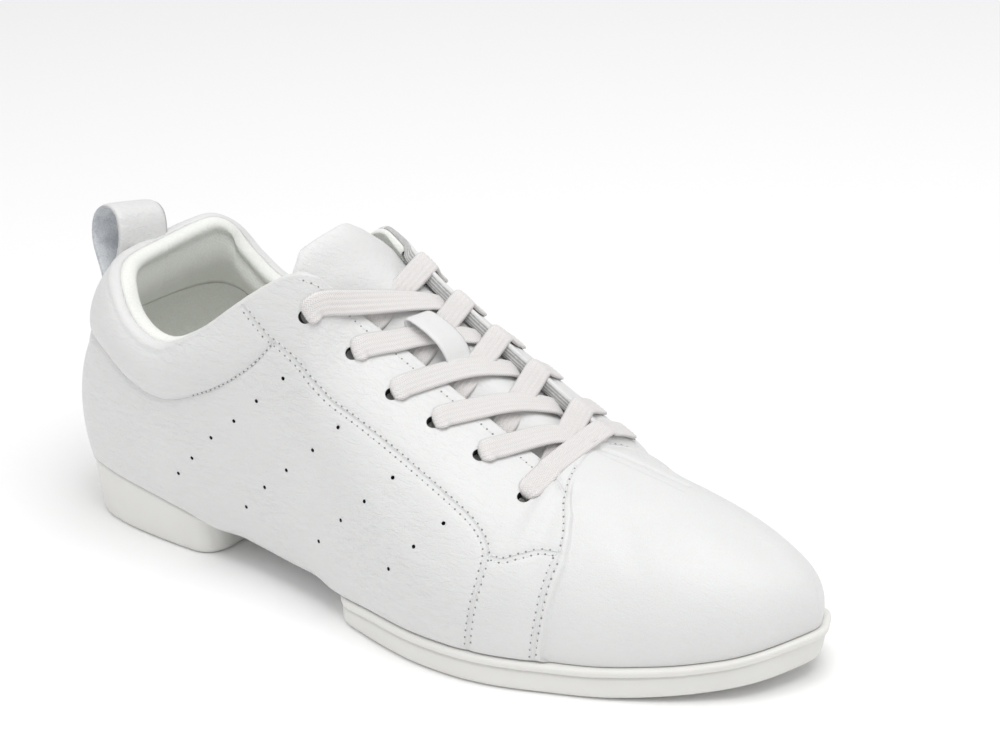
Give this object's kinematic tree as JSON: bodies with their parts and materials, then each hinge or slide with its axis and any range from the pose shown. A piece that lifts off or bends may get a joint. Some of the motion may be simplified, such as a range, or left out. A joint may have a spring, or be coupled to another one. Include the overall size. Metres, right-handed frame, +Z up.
{
  "type": "dance sneaker",
  "caption": "Low lace-up dance sneaker for the right foot with a split rubber sole, padded collar, tongue, flat laces and a heel pull loop.",
  "frame": {"origin": "middle of the shoe's box on the floor it stands on", "axes": "+X from the heel to the toe, +Y to the inner (medial) side, +Z up"},
  "size_m": [0.2766, 0.0948, 0.1111],
  "materials": {
    "leather": "smooth white leather with a fine grain, satin",
    "waist_cover": "white leather strip, satin",
    "sole_rubber": "matt warm white rubber",
    "lining": "soft pale grey lining cloth",
    "lace_cotton": "flat woven white cotton"
  },
  "bodies": {
    "root": {"upper": "leather", "heel_block": "sole_rubber", "forefoot_sole": "sole_rubber", "waist_strip": "waist_cover", "insole": "lining", "tongue": "leather", "pull_loop": "leather", "lace_keeper": "leather", "lace_bar": "lace_cotton", "lace_crossing_1": "lace_cotton", "lace_crossing_2": "lace_cotton", "lace_crossing_3": "lace_cotton", "lace_crossing_4": "lace_cotton", "lace_crossing_5": "lace_cotton"}
  },
  "joints": []
}
